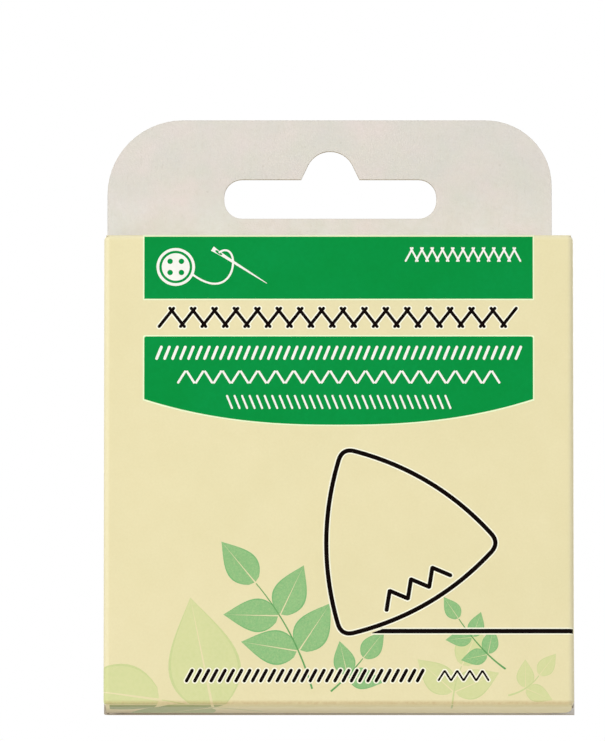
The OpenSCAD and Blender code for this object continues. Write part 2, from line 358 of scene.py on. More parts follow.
# Painted shade on the pale leaves, where they run on over the packet's lower crease onto its underside
LEAF_UNDERSIDE_SHADE = ("#6E7C5A", 0.4, 0.42)
PALE_LEAF = ink("pale_leaf_tint", "#D9DCA1", [
    ("#D0D79A", 4.0, 0.0, 0.6), ("#E0E0AC", 0.5, 0.0, 0.5), ("#CCD698", 0.25, 0.0, 0.3)], 0.1, underside_shade=LEAF_UNDERSIDE_SHADE)
PALE_EDGE = ink("pale_leaf_edge", "#D0D89B", [("#C7D194", 0.5, 0.0, 0.6)], 0.1, underside_shade=LEAF_UNDERSIDE_SHADE)
STEM = ink("stem_green_tint", "#6DA864", [("#5B9A5B", 1.5, 0.0, 0.7)], 0.1)
CHALK = pressed_chalk()


def arc(middle, radius, angles):
    """Points on a circle at these angles."""
    return [(middle[0] + radius * math.cos(a), middle[1] + radius * math.sin(a)) for a in angles]


def outline(corners, steps=8):
    """Closed outline on a sheet; each corner is (u, v) or (u, v, radius)."""
    points = []
    for before, here, after in zip(corners[-1:] + corners[:-1], corners, corners[1:] + corners[:1]):
        tip, back, on = (Vector(c[:2]) for c in (here, before, after))
        radius = here[2] if len(here) > 2 else 0
        if not radius:
            points.append(tuple(tip))
            continue
        to_back, to_on = (back - tip).normalized(), (on - tip).normalized()
        half = to_back.angle(to_on) / 2
        middle = tip + (to_back + to_on).normalized() * radius / math.sin(half)
        start = tip + to_back * radius / math.tan(half) - middle
        end = tip + to_on * radius / math.tan(half) - middle
        first = math.atan2(start.y, start.x)
        sweep = (math.atan2(end.y, end.x) - first + math.pi) % (2 * math.pi) - math.pi
        points += arc(middle, radius, [first + sweep * t for t in even_shares(steps)])
    return points


def ring(middle, radius, steps):
    """Circle as a closed outline."""
    return arc(middle, radius, [2 * math.pi * t for t in even_shares(steps)[:-1]])


def shifted(points, amount):
    """A closed line moved sideways to its left by amount."""
    moved = []
    for before, here, after in zip(points[-1:] + points[:-1], points, points[1:] + points[:1]):
        along = (Vector(after) - Vector(before)).normalized()
        moved.append((here[0] - along.y * amount, here[1] + along.x * amount))
    return moved


def stroke(points, width, end_width=None):
    """Outline of a drawn line of this width, tapering to end_width."""
    end_width = width if end_width is None else end_width
    left, right = [], []
    last = len(points) - 1
    for k, here in enumerate(points):
        before, after = points[max(k - 1, 0)], points[min(k + 1, last)]
        along = (Vector(after) - Vector(before)).normalized()
        half = (width + (end_width - width) * k / last) / 2
        left.append((here[0] - along.y * half, here[1] + along.x * half))
        right.append((here[0] + along.y * half, here[1] - along.x * half))
    return right + left[::-1]


def flat_sheet(shapes):
    """Flat mesh of closed shapes, each of them its outline and the holes in it."""
    sheet = bmesh.new()
    for shape in shapes:
        edges = []
        for loop in shape:
            corners = [sheet.verts.new((u, v, 0)) for u, v in loop]
            edges += [sheet.edges.new((corners[k - 1], corner)) for k, corner in enumerate(corners)]
        bmesh.ops.triangle_fill(sheet, use_beauty=True, edges=edges, normal=(0, 0, 1))
    return sheet


def cut_along(sheet, lines):
    """Adds edges to the sheet where it is to bend, and turns its faces outwards."""
    for axis, value in lines:
        values = [v.co[axis] for v in sheet.verts]
        if values and min(values) < value < max(values):
            across = (X, Y)[axis]
            bmesh.ops.bisect_plane(
                sheet, geom=sheet.verts[:] + sheet.edges[:] + sheet.faces[:], dist=1e-6,
                plane_co=across * value, plane_no=across,
            )
    for face in sheet.faces:
        face.normal_update()
        if face.normal.z < 0:
            face.normal_flip()


def rim_directions(sheet):
    """For each vertex on the sheet's rim, the way off the sheet, as long as a mitre needs."""
    sides = {}
    for edge in sheet.edges:
        if len(edge.link_faces) == 1:
            start, end = (v.co.xy for v in edge.verts)
            side = Vector((end.y - start.y, start.x - end.x)).normalized()
            if side.dot(edge.link_faces[0].calc_center_median().xy - start) > 0:
                side.negate()
            for vert in edge.verts:
                sides.setdefault(vert.index, []).append(side)
    return {
        index: sum(found, Vector((0, 0))) / (1 + max(found[0].dot(found[-1]), 0.0))
        for index, found in sides.items()
    }


def add_object(name, data):
    """An object in the scene with this mesh, lamp or camera."""
    added = bpy.data.objects.new(name, data)
    bpy.context.scene.collection.objects.link(added)
    return added


# Edges sharper than this are shaded as edges
SHARP = math.radians(60)


def fold(name, sheet, panel, rings, seams=()):
    """Closed solid from a flat sheet, folded over its panel's creases.

    rings are the (lift, inset) of its rim from the outer face to the inner one. The faces' material
    numbers are 0 outside, 1 on the rim and 2 inside. On a seam the rim has no inset.
    """
    sheet.verts.index_update()
    away = rim_directions(sheet)
    for vert in sheet.verts:
        if any(abs(vert.co[axis] - value) < 1e-4 for axis, value in seams) and vert.index in away:
            away[vert.index] = Vector((0, 0))
    points, normals, layers = [], [], []
    for number, (lift, inset) in enumerate(rings):
        whole = number in (0, len(rings) - 1)
        layer = {}
        for vert in sheet.verts:
            if whole or vert.index in away:
                inwards = away.get(vert.index, Vector((0, 0))) * inset
                spot, facing = panel.place((vert.co.x - inwards.x, vert.co.y - inwards.y, lift + vert.co.z))
                layer[vert.index] = len(points)
                points.append(spot * MM)
                normals.append(facing)
        layers.append(layer)
    faces, kinds, shades = [], [], []
    for face in sheet.faces:
        corners = [vert.index for vert in face.verts]
        for layer, kind, way in ((layers[0], 0, 1), (layers[-1], 2, -1)):
            ids = [layer[c] for c in corners][::way]
            faces.append(ids)
            kinds.append(kind)
            shades += [normals[i] * way for i in ids]
        for loop in face.loops:
            if len(loop.edge.link_faces) == 1:
                here, on = loop.vert.index, loop.link_loop_next.vert.index
                for outer, inner in zip(layers, layers[1:]):
                    faces.append([outer[here], inner[here], inner[on], outer[on]])
                    kinds.append(1)
                    shades += [Vector((0, 0, 0))] * 4
    mesh = bpy.data.meshes.new(name)
    mesh.from_pydata(points, [], faces)
    mesh.polygons.foreach_set("material_index", kinds)
    mesh.shade_smooth()
    mesh.set_sharp_from_angle(angle=SHARP)
    mesh.normals_split_custom_set(shades)
    return add_object(name, mesh)


def finish_piece(piece, body, materials, node=None):
    """Gives a piece its materials, its body, and the CAD node that it stands for."""
    for material in materials:
        piece.data.materials.append(material)
    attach(piece, body)
    if node:
        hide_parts(node)


# The die's rule rounds the board's cut edges over by this much
CUT_ROUND = 0.07
BOARD_RINGS = [(0, CUT_ROUND * 0.6), (-CUT_ROUND * 0.3, CUT_ROUND * 0.2), (-CUT_ROUND, 0),
               (-BOARD + CUT_ROUND / 2, 0), (-BOARD, CUT_ROUND / 2)]
CREST_LOW, CREST_HIGH = FLAT_LOW - CREST, FLAT_HIGH + CREST


def make_board(node, body, panel, loops, seams, outside=CREAM):
    """One die-cut and folded panel of the carton, in place of its CAD node."""
    sheet = flat_sheet([loops])
    cut_along(sheet, panel.cuts())
    piece = fold(node + "_board", sheet, panel, BOARD_RINGS, seams)
    sheet.free()
    finish_piece(piece, body, [outside, CORE, BARE], node)


# The hump over the slot is the rounded tip of a triangle of this height
HUMP_TIP, HUMP_TIP_R = 9.2, 3.7
HUMP_STEPS, SLOT_STEPS = 16, 8


def slot_hole():
    """Hanging slot with the hump over its middle, as one outline (u = x)."""
    half, low, high = SLOT_W / 2, SLOT_MID - SLOT_H / 2, SLOT_MID + SLOT_H / 2
    hump = outline([
        (SLOT_X + HUMP_R, high), (SLOT_X, high + HUMP_TIP, HUMP_TIP_R), (SLOT_X - HUMP_R, high),
    ], HUMP_STEPS)
    body = outline([
        (SLOT_X + half, high, SLOT_END_R), (SLOT_X - half, high, SLOT_END_R),
        (SLOT_X - half, low, SLOT_END_R), (SLOT_X + half, low, SLOT_END_R),
    ], SLOT_STEPS)
    # The slot's first corner is the one before the hump
    return hump + body[SLOT_STEPS + 1:] + body[:SLOT_STEPS + 1]


def on_back(loop):
    """A front view's outline, as the back panel's sheet has it."""
    return [(-u, v) for u, v in loop]


ARC_U = FLAT_U + QUARTER
# Radii of the walls' corners: most of them, the front's worn lower right one, and the back's by the tab
CORNER_R, WORN_CORNER_R, SHOULDER_R = 0.3, 0.9, 1.2
make_board("front_panel", "carton", FRONT, [outline([
    (-ARC_U, CREST_LOW, CORNER_R), (ARC_U, CREST_LOW, WORN_CORNER_R),
    (ARC_U, CREST_HIGH, CORNER_R), (-ARC_U, CREST_HIGH, CORNER_R),
])], [(0, -ARC_U), (0, ARC_U), (1, CREST_LOW), (1, CREST_HIGH)])

# The back's free edge was glued down a little askew, so it stands proud of the side towards its foot
SEAM_LOW, SEAM_HIGH = HALF_W + 0.16, HALF_W - 0.14
TAB_STEPS = 14
back_loop = on_back(outline([
    (-ARC_U, 0, CORNER_R), (SEAM_LOW, 0), (SEAM_HIGH, HEIGHT), (TAB_RIGHT, HEIGHT),
    (TAB_RIGHT, TAB_TOP, TAB_RIGHT_R), (TAB_LEFT, TAB_TOP, TAB_LEFT_R), (TAB_LEFT, HEIGHT),
    (-ARC_U, HEIGHT, SHOULDER_R),
], TAB_STEPS))
make_board("back_panel", "carton", BACK, [back_loop, on_back(slot_hole())], [(0, ARC_U)])

make_board("glue_flap", "carton", GLUE, [on_back([
    (GLUE_TIP, FLAT_LOW + GLUE_TAPER), (FLAT_U, FLAT_LOW), (ARC_U, FLAT_LOW), (ARC_U, FLAT_HIGH),
    (FLAT_U, FLAT_HIGH), (GLUE_TIP, FLAT_HIGH - GLUE_TAPER),
])], [(0, -ARC_U)], BARE)

SIDE_FRONT, SIDE_BACK = CREASE_R - HALF_D, HALF_D - CREASE_R
SIDE_LOW, SIDE_HIGH = SIDE_V[0] - CREST, SIDE_V[1] + CREST
for side, panel, way, back in (("left", LEFT, -1, SIDE_BACK), ("right", RIGHT, 1, SIDE_BACK - BOARD)):
    loop = [
        (back, SIDE_V[0]), (back, SIDE_V[1]), (DUST_BACK, SIDE_V[1]), (DUST_BACK, SIDE_HIGH),
        (SIDE_FRONT, SIDE_HIGH), (SIDE_FRONT, SIDE_LOW), (DUST_BACK, SIDE_LOW), (DUST_BACK, SIDE_V[0]),
    ]
    make_board(side + "_side_panel", "carton", panel, [[(way * u, v) for u, v in loop]],
               [(0, way * SIDE_FRONT), (0, way * back), (1, SIDE_LOW), (1, SIDE_HIGH)])

# The closures' rear right corners are knocked in by this width and length, the left ones hardly
RIGHT_WORN, LEFT_WORN = (1.3, 3.6), (0.2, 0.6)
WORN_TURNS = [math.pi / 2 * t for t in even_shares(8)]
TUCK_ROOT = TUCK_HALF - SLIT_L
DUST_ROOT = FLAT_U + CREST
for end, way, panel, tuck_panel, dust_panel, crest, base, tip in (
    ("top", 1, TOP, TOP_TUCK, TOP_DUST, CREST_HIGH, FLAT_HIGH, HEIGHT - TUCK_L),
    ("bottom", -1, BOTTOM, BOTTOM_TUCK, BOTTOM_DUST, CREST_LOW, FLAT_LOW, TUCK_L),
):
    hinge, back = way * (SIDE_FRONT - CREST), way * (TUCK_Y - CREASE_R)
    rear = back + way * CREST
    halves = []
    for wide, long in (RIGHT_WORN, LEFT_WORN):
        worn = [(CLOSURE_HALF - wide * (1 - math.cos(a)), back - way * long * (1 - math.sin(a)))
                for a in WORN_TURNS]
        halves.append([(CLOSURE_HALF, hinge), *worn, (TUCK_ROOT, back), (TUCK_ROOT, rear)])
    loop = halves[0] + [(-u, v) for u, v in reversed(halves[1])]
    name = end + "_closure"
    make_board(name, name, panel, [loop], [(1, hinge), (1, rear)])

    shoulder = base - way * SLIT_W
    half = [
        (TUCK_HALF - TUCK_TAPER, tip, TUCK_CORNER_R), (TUCK_HALF, shoulder),
        (TUCK_ROOT, shoulder), (TUCK_ROOT, base), (TUCK_ROOT, crest),
    ]
    loop = outline(half + [(-u, *rest) for u, *rest in reversed(half)])
    name = end + "_tuck_flap"
    make_board(name, name, tuck_panel, [loop], [(1, crest)])

    for side, turn in (("left", -1), ("right", 1)):
        loop = outline([
            (DUST_ROOT, DUST_FRONT), (DUST_ROOT, DUST_BACK),
            (DUST_TIP, DUST_BACK, DUST_CORNER_R), (DUST_TIP, DUST_FRONT, DUST_CORNER_R),
        ])
        name = f"{end}_{side}_dust_flap"
        loop = [(turn * u, way * v) for u, v in loop]
        make_board(name, name, dust_panel, [loop], [(0, turn * DUST_ROOT)])


# Width of the pale line left round solid inks
KEY_W = 0.2
# How far films of ink stand off the board: the pale and the green sprigs' leaf edges, their leaves and
# stems a step higher each, pale lines, solid inks, and white on a solid ink
PALE_LIFT, GREEN_LIFT, LEAF_STEP = 0.001, 0.0105, 0.003
KEY_LIFT, INK_LIFT, OVER_LIFT = 0.02, 0.0235, 0.027
# How deep a film reaches into the board
FILM = 0.03
# Loose shapes of one film are lifted by this step, in turn, to so many levels
ISLAND_STEP, ISLAND_LEVELS = 0.0008, 4
# Bare strip on each side of a hinged crease's crest, where ink cracks off when it is folded
CREST_BARE = 0.06
# The print ends short of the bottom closure's rear crease
PRINT_FOOT = -6.3


def part_islands(sheet):
    """Lifts a sheet's loose shapes by slightly different amounts, so that crossing ones don't coincide."""
    seen, number = set(), 0
    for first in sheet.verts:
        if first in seen:
            continue
        waiting = [first]
        seen.add(first)
        while waiting:
            vert = waiting.pop()
            vert.co.z = ISLAND_STEP * (number % ISLAND_LEVELS)
            for edge in vert.link_edges:
                other = edge.other_vert(vert)
                if other not in seen:
                    seen.add(other)
                    waiting.append(other)
        number += 1


def press(name, sheet, lift, material):
    """Prints a flat shape on the carton: one thin film of ink for each body that it runs over."""
    bmesh.ops.triangulate(sheet, faces=sheet.faces[:])
    cracks = [crest + way * CREST_BARE for crest in (CREST_LOW, CREST_HIGH) for way in (-1, 1)]
    cut_along(sheet, FRONT.cuts() + [(1, crack) for crack in cracks + [PRINT_FOOT]])
    part_islands(sheet)
    for ending, body, low, high, side in (
        ("_bottom", "bottom_closure", PRINT_FOOT, cracks[0], FLAT_U),
        ("", "carton", cracks[1], cracks[2], ARC_U),
        ("_top", "top_closure", cracks[3], NO_LIMIT, FLAT_U),
    ):
        part = sheet.copy()
        middles = [(f, f.calc_center_median()) for f in part.faces]
        others = [f for f, spot in middles if abs(spot.x) > side or not low < spot.y < high]
        bmesh.ops.delete(part, geom=others, context="FACES")
        if part.faces:
            piece = fold(name + ending, part, FRONT, [(lift, 0), (-FILM, 0)])
            finish_piece(piece, body, [material] * 3)
        part.free()
    sheet.free()


def print_shapes(name, shapes, lift, material):
    """Prints several closed shapes in one ink."""
    press(name, flat_sheet(shapes), lift, material)


def new_tree(name, inputs):
    """Geometry Nodes tree with these inputs, each (name, socket kind)."""
    tree = bpy.data.node_groups.new(name, "GeometryNodeTree")
    tree.interface.new_socket("Geometry", in_out="OUTPUT", socket_type="NodeSocketGeometry")
    for label, kind in inputs:
        tree.interface.new_socket(label, in_out="INPUT", socket_type="NodeSocket" + kind)
    return tree, add_node(tree, "NodeGroupInput")


def end_tree(tree, geometry, material):
    """Realizes what the tree made, inks it and hands it out."""
    real = add_node(tree, "GeometryNodeRealizeInstances", {"Geometry": geometry})[0]
    inked = add_node(tree, "GeometryNodeSetMaterial", {"Geometry": real, "Material": material})[0]
    add_node(tree, "NodeGroupOutput", {0: inked})


def grow(tree, values):
    """Runs a tree once with these input values, and returns its result as a flat sheet."""
    holder = add_object("holder", bpy.data.meshes.new("holder"))
    modifier = holder.modifiers.new("pattern", "NODES")
    modifier.node_group = tree
    ids = {item.name: item.identifier for item in tree.interface.items_tree if item.in_out == "INPUT"}
    for label, value in values.items():
        modifier[ids[label]] = value
    shown = holder.evaluated_get(bpy.context.evaluated_depsgraph_get())
    mesh = bpy.data.meshes.new_from_object(shown)
    sheet = bmesh.new()
    sheet.from_mesh(mesh)
    bpy.data.objects.remove(holder)
    bpy.data.meshes.remove(mesh)
    return sheet


# A stitch's ends are all but half round; at half its width the fillets would meet
END_ROUND = 0.499


def stitch_tree():
    """Row of rounded stitches at an even pitch; with Alternate 1 every second one slants the other way."""
    tree, given = new_tree("stitch_row", [
        ("Stitches", "Int"), ("Pitch", "Float"), ("Length", "Float"), ("Width", "Float"),
        ("Slant", "Float"), ("Alternate", "Float"), ("Ink", "Material"),
    ])
    step = add_node(tree, "ShaderNodeCombineXYZ", {"X": given["Pitch"]})[0]
    row = add_node(tree, "GeometryNodeMeshLine", {"Count": given["Stitches"], "Offset": step})[0]
    bar = add_node(tree, "GeometryNodeCurvePrimitiveQuadrilateral", {
        "Width": given["Length"], "Height": given["Width"],
    })[0]
    radius = add_node(tree, "ShaderNodeMath", {0: given["Width"], 1: END_ROUND}, operation="MULTIPLY")[0]
    round_bar = add_node(tree, "GeometryNodeFilletCurve", {
        "Curve": bar, "Count": 4, "Radius": radius,
    }, mode="POLY")[0]
    stitch = add_node(tree, "GeometryNodeFillCurve", {"Curve": round_bar}, mode="NGONS")[0]
    # Where they alternate, odd stitches have 1 and even ones 0, then -1 and 1, and this times the slant
    slant = add_node(tree, "GeometryNodeInputIndex")[0]
    for operation, by in (
        ("MODULO", {1: 2.0}), ("MULTIPLY", {1: given["Alternate"]}),
        ("MULTIPLY_ADD", {1: -2.0, 2: 1.0}), ("MULTIPLY", {1: given["Slant"]}),
    ):
        slant = add_node(tree, "ShaderNodeMath", {0: slant, **by}, operation=operation)[0]
    turn = add_node(tree, "ShaderNodeCombineXYZ", {"Z": slant})[0]
    placed = add_node(tree, "GeometryNodeInstanceOnPoints", {
        "Points": row, "Instance": stitch, "Rotation": turn,
    })[0]
    end_tree(tree, placed, given["Ink"])
    return tree


def sprig_tree():
    """Leaves in pairs along a bent stem, growing smaller towards its tip, and one leaf on the tip."""
    tree, given = new_tree("sprig", [
        ("Start", "Vector"), ("Middle", "Vector"), ("End", "Vector"), ("Nodes", "Int"), ("Spread", "Float"),
        ("Root size", "Float"), ("Tip size", "Float"), ("Leaf", "Object"), ("Ink", "Material"),
    ])
    stem = add_node(tree, "GeometryNodeCurveQuadraticBezier", {
        "Resolution": 32, "Start": given["Start"], "Middle": given["Middle"], "End": given["End"],
    })[0]
    spots = add_node(tree, "GeometryNodeCurveToPoints", {
        "Curve": stem, "Count": given["Nodes"],
    }, mode="COUNT")
    leaf = add_node(tree, "GeometryNodeObjectInfo", {"Object": given["Leaf"]})["Geometry"]
    number = add_node(tree, "GeometryNodeInputIndex")[0]
    last = add_node(tree, "ShaderNodeMath", {0: given["Nodes"], 1: 1.0}, operation="SUBTRACT")[0]
    size = add_node(tree, "ShaderNodeMapRange", {
        "Value": number, "From Max": last, "To Min": given["Root size"], "To Max": given["Tip size"],
    })["Result"]
    ahead = add_node(tree, "FunctionNodeAlignRotationToVector", {
        "Vector": spots["Tangent"],
    }, axis="X", pivot_axis="Z")[0]
    # The stem's foot is bare, and its tip carries one leaf that points ahead
    above = add_node(tree, "ShaderNodeMath", {0: number, 1: 0.5}, operation="GREATER_THAN")[0]
    before_tip = add_node(tree, "ShaderNodeMath", {0: last, 1: number}, operation="GREATER_THAN")[0]
    paired = add_node(tree, "ShaderNodeMath", {0: above, 1: before_tip}, operation="MULTIPLY")[0]
    grown = []
    for way, chosen in ((-1.0, paired), (1.0, above)):
        spread = given["Spread"]
        for by in (before_tip, way):
            spread = add_node(tree, "ShaderNodeMath", {0: spread, 1: by}, operation="MULTIPLY")[0]
        turn = add_node(tree, "FunctionNodeAxisAngleToRotation", {"Axis": Z, "Angle": spread})[0]
        facing = add_node(tree, "FunctionNodeRotateRotation", {0: ahead, 1: turn}, rotation_space="LOCAL")[0]
        grown.append(add_node(tree, "GeometryNodeInstanceOnPoints", {
            "Points": spots["Points"], "Selection": chosen, "Instance": leaf, "Rotation": facing,
            "Scale": size,
        })[0])
    joined = add_node(tree, "GeometryNodeJoinGeometry", {0: grown[0]})[0]
    tree.links.new(grown[1], joined.node.inputs[0])
    end_tree(tree, joined, given["Ink"])
    return tree


STITCHES = stitch_tree()
SPRIG = sprig_tree()


def stitch_row(name, start, end, count, length, width, slant, alternate, lift, material):
    """Prints a row of stitches between two points of the front; slant is in degrees."""
    start, run = Vector(start), Vector(end) - Vector(start)
    sheet = grow(STITCHES, {
        "Stitches": count, "Pitch": run.length / (count - 1), "Length": length, "Width": width,
        "Slant": math.radians(slant), "Alternate": float(alternate), "Ink": material,
    })
    along = run.normalized()
    for vert in sheet.verts:
        spot = start + along * vert.co.x + along.orthogonal() * vert.co.y
        vert.co = spot.to_3d()
    press(name, sheet, lift, material)


def keyed_stitch_row(name, start, end, count, length, width, slant, alternate):
    """Prints a row of black stitches with a pale line round each."""
    row = (start, end, count)
    stitch_row(name + "_keyline", *row, length + 2 * KEY_W, width + 2 * KEY_W, slant, alternate,
               KEY_LIFT, KEYLINE)
    stitch_row(name, *row, length, width, slant, alternate, INK_LIFT, BLACK)


# A leaf of unit length: half its width, half the gap at its midrib, where its foot starts, and how much
# its belly lies towards the foot and thins towards the tip
LEAF_HALF, LEAF_GAP, LEAF_FOOT = 0.34, 0.012, 0.03
BELLY_SHIFT, BELLY_THIN = 0.8, 0.25


def leaf_object(name, share):
    """Pointed oval leaf in two halves, as an object that a tree can repeat.

    share is how much of its width is drawn.
    """
    upper = [(LEAF_FOOT, LEAF_GAP)]
    for t in even_shares(16)[1:-1]:
        belly = math.sin(math.pi * t ** BELLY_SHIFT) * (1 - BELLY_THIN * t)
        upper.append((t, LEAF_GAP * (1 - t) + (LEAF_HALF - LEAF_GAP) * belly * share))
    upper.append((1.0, 0.0))
    sheet = flat_sheet([[upper[::-1]], [[(u, -v) for u, v in upper]]])
    mesh = bpy.data.meshes.new(name)
    sheet.to_mesh(mesh)
    sheet.free()
    return add_object(name, mesh)


LEAF_PATTERN = leaf_object("leaf_pattern", 1.0)
LEAF_CORE_PATTERN = leaf_object("leaf_core_pattern", 0.92)
LEAF_SPREAD = math.radians(57)
STEM_W, STEM_TIP_W, STEM_STEPS = 0.28, 0.14, 24

# Sprigs printed on the front: foot, middle and tip of the stem, points on it, leaf sizes, and the inks
GREENS = (LEAF, LEAF_EDGE, STEM, GREEN_LIFT)
PALES = (PALE_LEAF, PALE_EDGE, PALE_EDGE, PALE_LIFT)
SPRIGS = [
    ("rising", (-4.0, 2.6), (-6.5, 11.5), (-12.4, 18.6), 4, 9.0, 8.2, GREENS),
    ("leaning", (-1.2, 2.2), (1.6, 4.6), (3.6, 7.2), 3, 5.6, 5.2, GREENS),
    ("edge", (25.0, 5.6), (21.5, 8.0), (18.0, 13.2), 4, 4.2, 4.0, GREENS),
    ("corner", (-11.5, -4.8), (-19.5, 0.0), (-26.5, 0.9), 3, 20.5, 15.5, PALES),
    ("low", (16.9, -2.0), (17.0, 3.0), (18.4, 6.0), 3, 7.6, 7.2, PALES),
    ("side", (25.4, 1.6), (28.2, 2.2), (30.0, 4.6), 3, 4.6, 4.2, PALES),
]


def curve_line(controls, steps):
    """Points along a smooth curve with these control points."""
    line = []
    for t in even_shares(steps):
        spots = [Vector(point) for point in controls]
        while len(spots) > 1:
            spots = [here.lerp(there, t) for here, there in zip(spots, spots[1:])]
        line.append(tuple(spots[0]))
    return line


for label, foot, middle, tip, nodes, root_size, tip_size, (tint, edge, stem, lift) in SPRIGS:
    for ending, leaf, material in (("edges", LEAF_PATTERN, edge), ("leaves", LEAF_CORE_PATTERN, tint)):
        grown = grow(SPRIG, {
            "Start": (*foot, 0), "Middle": (*middle, 0), "End": (*tip, 0), "Nodes": nodes,
            "Spread": LEAF_SPREAD, "Root size": root_size, "Tip size": tip_size,
            "Leaf": leaf, "Ink": material,
        })
        press(f"{label}_sprig_{ending}", grown, lift, material)
        lift += LEAF_STEP
    line = curve_line([foot, middle, tip], STEM_STEPS)
    print_shapes(f"{label}_sprig_stem", [[stroke(line, STEM_W, STEM_TIP_W)]], lift, stem)

for pattern in (LEAF_PATTERN, LEAF_CORE_PATTERN):
    bpy.data.objects.remove(pattern)

# Green label bands, reversed out of the cream inside a thin pale line
BAND_LEFT, BAND_RIGHT = -29.22, 29.19
BAND_LOW, BAND_TOP = 61.94, CREST_HIGH - 0.12
BAND_KEY_TOP = CREST_HIGH + 0.5
PANEL_TOP, PANEL_SIDE_LOW, PANEL_LOW = 56.2, 46.64, 42.73
# How flat the panel's lower edge runs before it bows up at its ends
PANEL_BOW = 2.42
LABEL_CORNER_R = 0.3


def upper_band(out, top):
    """Band under the upper crease, drawn larger by out."""
    left, right, low = BAND_LEFT - out, BAND_RIGHT + out, BAND_LOW - out
    return [(left, low), (right, low), (right, top), (left, top)]


def lower_panel(out):
    """Panel with a bowed lower edge, drawn larger by out."""
    left, right, top = BAND_LEFT - out, BAND_RIGHT + out, PANEL_TOP + out
    rise = PANEL_SIDE_LOW - PANEL_LOW
    bow = [(left + (right - left) * t, PANEL_LOW - out + rise * abs(2 * t - 1) ** PANEL_BOW)
           for t in even_shares(40)]
    upper = outline([
        (right, top, LABEL_CORNER_R), (left, top, LABEL_CORNER_R),
        (left, PANEL_SIDE_LOW), (right, PANEL_SIDE_LOW),
    ], 3)
    return upper[:-2] + bow


print_shapes("upper_label_keyline", [[upper_band(KEY_W, BAND_KEY_TOP)]], KEY_LIFT, GREEN_KEYLINE)
print_shapes("upper_label_green", [[upper_band(0, BAND_TOP)]], INK_LIFT, GREEN)
print_shapes("lower_label_keyline", [[lower_panel(KEY_W)]], KEY_LIFT, GREEN_KEYLINE)
print_shapes("lower_label_green", [[lower_panel(0)]], INK_LIFT, GREEN)

# Button with a rim and four holes, at the left of the upper band
BUTTON, BUTTON_R, BUTTON_FACE_R, BUTTON_RIM_W = Vector((-24.5, 66.8)), 2.9, 2.1, 0.42
HOLE_AWAY, HOLE_R = 0.85, 0.42
holes = [ring(BUTTON + Vector((a, b)) * HOLE_AWAY, HOLE_R, 12)[::-1] for a in (-1, 1) for b in (-1, 1)]
button = [
    [ring(BUTTON, BUTTON_R, 40), ring(BUTTON, BUTTON_R - BUTTON_RIM_W, 40)[::-1]],
    [ring(BUTTON, BUTTON_FACE_R, 40), *holes],
]

# Needle, widening towards its eye, and the thread from the eye to the button
NEEDLE_TIP, NEEDLE_HEAD = Vector((-10.8, 64.3)), Vector((-19.0, 69.6))
NEEDLE_TIP_W, NEEDLE_HEAD_W = 0.1, 0.78
EYE_AWAY, EYE_HALF_L, EYE_HALF_W = 1.15, 0.62, 0.2
THREAD_W = 0.3
along = (NEEDLE_HEAD - NEEDLE_TIP).normalized()
needle = stroke([NEEDLE_TIP.lerp(NEEDLE_HEAD, t) for t in (0, 0.2, 0.45, 0.75, 0.88, 0.95, 1.0)],
                NEEDLE_TIP_W, NEEDLE_HEAD_W)
eye_mid = NEEDLE_HEAD - along * EYE_AWAY
eye = [tuple(eye_mid + along * EYE_HALF_L * a + along.orthogonal() * EYE_HALF_W * b)
       for a, b in ring((0, 0), 1, 16)]
thread = curve_line([eye_mid, (-14.5, 71.5), (-15.0, 60.5), (-21.9, 65.6)], 30)
print_shapes("sewing_badge", button + [[needle, eye[::-1]], [stroke(thread, THREAD_W)]], OVER_LIFT, WHITE)

# Sampler rows: herringbone, whip, zigzag and running stitches
stitch_row("band_row_stitches", (10.6, 68.7), (26.8, 68.7), 22, 2.5, 0.28, 62, True, OVER_LIFT, WHITE)
keyed_stitch_row("black_row_stitches", (-25.9, 59.1), (25.6, 59.1), 33, 4.0, 0.48, 52, True)
stitch_row("first_row_stitches", (-27.0, 53.7), (27.0, 53.7), 46, 2.3, 0.42, 68, False, OVER_LIFT, WHITE)
stitch_row("second_row_stitches", (-23.6, 50.0), (23.6, 50.0), 36, 2.3, 0.34, 58, True, OVER_LIFT, WHITE)
stitch_row("third_row_stitches", (-16.4, 46.2), (16.4, 46.2), 30, 2.3, 0.3, 112, False, OVER_LIFT, WHITE)
keyed_stitch_row("base_row_stitches", (-22.4, 4.6), (12.2, 4.6), 29, 2.3, 0.5, 62, False)
keyed_stitch_row("base_row_fine_stitches", (15.4, 4.6), (22.0, 4.6), 8, 1.9, 0.3, 58, True)
keyed_stitch_row("drawing_stitches", (7.4, 16.0), (15.4, 20.4), 6, 3.5, 0.62, 52, True)


def chalk_drawing(corners, bulge, eased):
    """Closed line of a triangle with swollen sides, whose corners are eased over this length."""
    middle = sum((Vector(c) for c in corners), Vector((0, 0))) / 3
    sides = []
    for here, there in zip(corners, corners[1:] + corners[:1]):
        start, run = Vector(here), Vector(there) - Vector(here)
        out = Vector((run.y, -run.x)).normalized()
        if out.dot(start - middle) < 0:
            out.negate()
        side = [start + run * t + out * bulge * 4 * t * (1 - t) for t in even_shares(48)]
        sides.append([p for p in side if min((p - side[0]).length, (p - side[-1]).length) > eased])
    loop = []
    for side, after, corner in zip(sides, sides[1:] + sides[:1], corners[1:] + corners[:1]):
        loop += side + curve_line([side[-1], corner, after[0]], 8)[1:-1]
    return loop


DRAWING = chalk_drawing([(0.56, 39.15), (0.4, 10.66), (24.1, 24.74)], 2.35, 1.5)
LINE_W = 0.66
